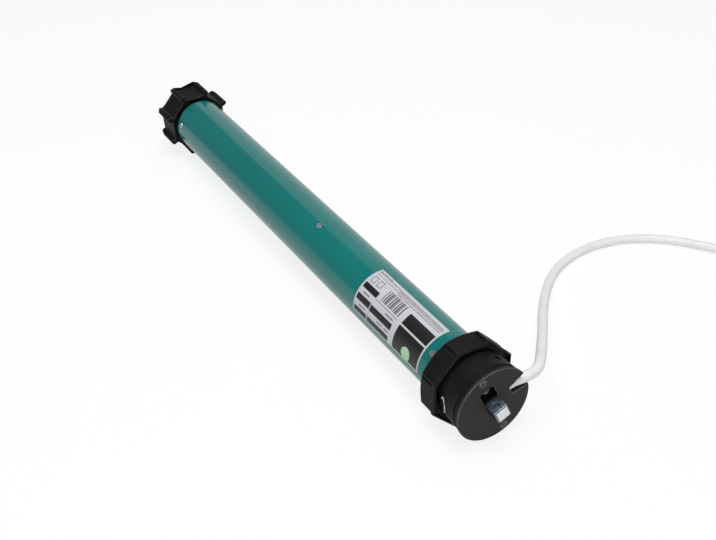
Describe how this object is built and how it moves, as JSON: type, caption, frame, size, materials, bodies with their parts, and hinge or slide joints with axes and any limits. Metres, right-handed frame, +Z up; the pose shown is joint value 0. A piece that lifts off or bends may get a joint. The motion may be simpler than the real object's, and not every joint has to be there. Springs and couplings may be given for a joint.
{
  "type": "tubular roller blind motor",
  "caption": "Tubular motor for a roller blind: painted steel tube, black head with square pin and white mains cable, octagonal crown ring and ribbed drive wheel at the far end.",
  "frame": {"origin": "centre of the head plate's outer face, on the motor's axis", "axes": "+X runs along the motor's axis out of the head, +Z is up as the motor lies, with the crown ring's flat side below"},
  "size_m": [0.5454, 0.3789, 0.06],
  "materials": {
    "tube_paint": "satin",
    "plate_black": "satin",
    "black_plastic": "satin",
    "zinc": "satin",
    "steel": "satin",
    "black_steel": "satin",
    "bronze": "matte",
    "copper": "satin",
    "iron": "matte",
    "die_cast": "matte",
    "white_gear": "satin",
    "grey_plastic": "matte",
    "board_green": "satin",
    "capacitor_white": "satin",
    "cable_white": "satin",
    "core_sleeve": "satin"
  },
  "bodies": {
    "motor": {"motor_tube": "tube_paint", "tube_screws": "steel", "head_plate": "plate_black", "head_housing": "black_plastic", "head_screws": "black_steel", "neck_screws": "steel", "square_pin": "zinc", "pin_screw": "steel", "limit_housing": "black_plastic", "cable_plug": "cable_white", "lead_sleeve": "cable_white", "limit_axles": "steel", "switch_frame": "grey_plastic", "switch_board": "board_green", "terminal_block": "grey_plastic", "limit_switches": "grey_plastic", "capacitor": "capacitor_white", "capacitor_holder": "grey_plastic", "stator_stack": "iron", "stator_windings": "copper", "bearing_bushes": "bronze", "brake_magnet": "iron", "brake_spring": "steel", "gearbox_input_plate": "steel", "gearbox_housing": "steel", "end_cap": "black_plastic", "front_end_shield": "die_cast", "rear_end_shield": "die_cast", "cord_run": "cable_white", "cord_coil": "cable_white", "cord_tie": "black_plastic", "cord_cores": "core_sleeve"},
    "crown": {"crown_ring": "black_plastic"},
    "pinion": {"limit_pinion": "white_gear"},
    "gear_first": {"limit_gear_first": "white_gear"},
    "gear_second": {"limit_gear_second": "white_gear"},
    "cam_up": {"cam_wheel_up": "white_gear"},
    "cam_down": {"cam_wheel_down": "white_gear"},
    "adjuster_up": {"limit_screw_up": "black_steel"},
    "adjuster_down": {"limit_screw_down": "black_steel"},
    "plunger_up": {"switch_plunger_up": "black_plastic"},
    "plunger_down": {"switch_plunger_down": "black_plastic"},
    "rotor": {"rotor_core": "iron", "rotor_shaft": "steel", "brake_disc": "steel"},
    "armature": {"brake_armature": "steel"},
    "carrier_first": {"first_carrier": "steel"},
    "carrier_second": {"second_carrier": "steel"},
    "output": {"output_carrier": "steel", "drive_wheel": "black_plastic", "wheel_clip": "steel"},
    "planet_first_1": {"first_planet_1": "steel"},
    "planet_first_2": {"first_planet_2": "steel"},
    "planet_first_3": {"first_planet_3": "steel"},
    "planet_second_1": {"second_planet_1": "steel"},
    "planet_second_2": {"second_planet_2": "steel"},
    "planet_second_3": {"second_planet_3": "steel"},
    "planet_third_1": {"third_planet_1": "steel"},
    "planet_third_2": {"third_planet_2": "steel"},
    "planet_third_3": {"third_planet_3": "steel"}
  },
  "joints": [
    {"name": "crown_turn", "type": "hinge", "parent": "motor", "child": "crown", "pos_m": [-0.03, 0, 0], "axis": [1, 0, 0], "continuous": true},
    {"name": "pinion_spin", "type": "hinge", "parent": "motor", "child": "pinion", "pos_m": [-0.036, -0.01088, -0.00507], "axis": [1, 0, 0], "continuous": true},
    {"name": "gear_first_spin", "type": "hinge", "parent": "motor", "child": "gear_first", "pos_m": [-0.065, 0.00544, 0.00254], "axis": [1, 0, 0], "continuous": true},
    {"name": "gear_second_spin", "type": "hinge", "parent": "motor", "child": "gear_second", "pos_m": [-0.077, -0.00544, -0.00254], "axis": [1, 0, 0], "continuous": true},
    {"name": "cam_up_turn", "type": "hinge", "parent": "motor", "child": "cam_up", "pos_m": [-0.085, 0.00544, 0.00254], "axis": [1, 0, 0], "continuous": true},
    {"name": "cam_down_turn", "type": "hinge", "parent": "motor", "child": "cam_down", "pos_m": [-0.093, 0.00544, 0.00254], "axis": [1, 0, 0], "continuous": true},
    {"name": "adjuster_up_turn", "type": "hinge", "parent": "motor", "child": "adjuster_up", "pos_m": [-0.0136, 0.00803, 0.01722], "axis": [0, 0.4226, 0.9063], "continuous": true},
    {"name": "adjuster_down_turn", "type": "hinge", "parent": "motor", "child": "adjuster_down", "pos_m": [-0.0136, -0.01678, -0.00892], "axis": [0, -0.8829, -0.4695], "continuous": true},
    {"name": "plunger_up_press", "type": "slide", "parent": "motor", "child": "plunger_up", "axis": [0, -0.4226, 0.9063], "range_m": [0, 0.0005], "stiffness_N_per_m": 20, "springref_m": -0.0005},
    {"name": "plunger_down_press", "type": "slide", "parent": "motor", "child": "plunger_down", "axis": [0, -0.4226, 0.9063], "range_m": [0, 0.0005], "stiffness_N_per_m": 20, "springref_m": -0.0005},
    {"name": "rotor_spin", "type": "hinge", "parent": "motor", "child": "rotor", "pos_m": [-0.25, 0, 0], "axis": [1, 0, 0], "continuous": true},
    {"name": "armature_slide", "type": "slide", "parent": "motor", "child": "armature", "axis": [1, 0, 0], "range_m": [0, 0.0004], "stiffness_N_per_m": 2000, "springref_m": -0.001},
    {"name": "carrier_first_spin", "type": "hinge", "parent": "motor", "child": "carrier_first", "pos_m": [-0.358, 0, 0], "axis": [1, 0, 0], "continuous": true},
    {"name": "carrier_second_spin", "type": "hinge", "parent": "motor", "child": "carrier_second", "pos_m": [-0.377, 0, 0], "axis": [1, 0, 0], "continuous": true},
    {"name": "output_turn", "type": "hinge", "parent": "motor", "child": "output", "pos_m": [-0.43, 0, 0], "axis": [1, 0, 0], "continuous": true},
    {"name": "planet_first_1_spin", "type": "hinge", "parent": "carrier_first", "child": "planet_first_1", "pos_m": [-0.35, 0.01125, 0], "axis": [1, 0, 0], "continuous": true},
    {"name": "planet_first_2_spin", "type": "hinge", "parent": "carrier_first", "child": "planet_first_2", "pos_m": [-0.35, -0.00562, 0.00974], "axis": [1, 0, 0], "continuous": true},
    {"name": "planet_first_3_spin", "type": "hinge", "parent": "carrier_first", "child": "planet_first_3", "pos_m": [-0.35, -0.00562, -0.00974], "axis": [1, 0, 0], "continuous": true},
    {"name": "planet_second_1_spin", "type": "hinge", "parent": "carrier_second", "child": "planet_second_1", "pos_m": [-0.37, 0.01125, 0], "axis": [1, 0, 0], "continuous": true},
    {"name": "planet_second_2_spin", "type": "hinge", "parent": "carrier_second", "child": "planet_second_2", "pos_m": [-0.37, -0.00562, 0.00974], "axis": [1, 0, 0], "continuous": true},
    {"name": "planet_second_3_spin", "type": "hinge", "parent": "carrier_second", "child": "planet_second_3", "pos_m": [-0.37, -0.00562, -0.00974], "axis": [1, 0, 0], "continuous": true},
    {"name": "planet_third_1_spin", "type": "hinge", "parent": "output", "child": "planet_third_1", "pos_m": [-0.395, 0.01125, 0], "axis": [1, 0, 0], "continuous": true},
    {"name": "planet_third_2_spin", "type": "hinge", "parent": "output", "child": "planet_third_2", "pos_m": [-0.395, -0.00562, 0.00974], "axis": [1, 0, 0], "continuous": true},
    {"name": "planet_third_3_spin", "type": "hinge", "parent": "output", "child": "planet_third_3", "pos_m": [-0.395, -0.00562, -0.00974], "axis": [1, 0, 0], "continuous": true}
  ],
  "couplings": [
    {"joint": "pinion_spin", "follows": "crown_turn", "ratio": 2.2},
    {"joint": "gear_first_spin", "follows": "crown_turn", "ratio": -0.55},
    {"joint": "gear_second_spin", "follows": "crown_turn", "ratio": 0.1375},
    {"joint": "cam_up_turn", "follows": "crown_turn", "ratio": -0.034375},
    {"joint": "cam_down_turn", "follows": "crown_turn", "ratio": -0.034375},
    {"joint": "carrier_first_spin", "follows": "rotor_spin", "ratio": 0.2},
    {"joint": "carrier_second_spin", "follows": "rotor_spin", "ratio": 0.04},
    {"joint": "output_turn", "follows": "rotor_spin", "ratio": 0.008},
    {"joint": "planet_first_1_spin", "follows": "rotor_spin", "ratio": -0.53333},
    {"joint": "planet_first_2_spin", "follows": "rotor_spin", "ratio": -0.53333},
    {"joint": "planet_first_3_spin", "follows": "rotor_spin", "ratio": -0.53333},
    {"joint": "planet_second_1_spin", "follows": "rotor_spin", "ratio": -0.10667},
    {"joint": "planet_second_2_spin", "follows": "rotor_spin", "ratio": -0.10667},
    {"joint": "planet_second_3_spin", "follows": "rotor_spin", "ratio": -0.10667},
    {"joint": "planet_third_1_spin", "follows": "rotor_spin", "ratio": -0.021333},
    {"joint": "planet_third_2_spin", "follows": "rotor_spin", "ratio": -0.021333},
    {"joint": "planet_third_3_spin", "follows": "rotor_spin", "ratio": -0.021333}
  ]
}
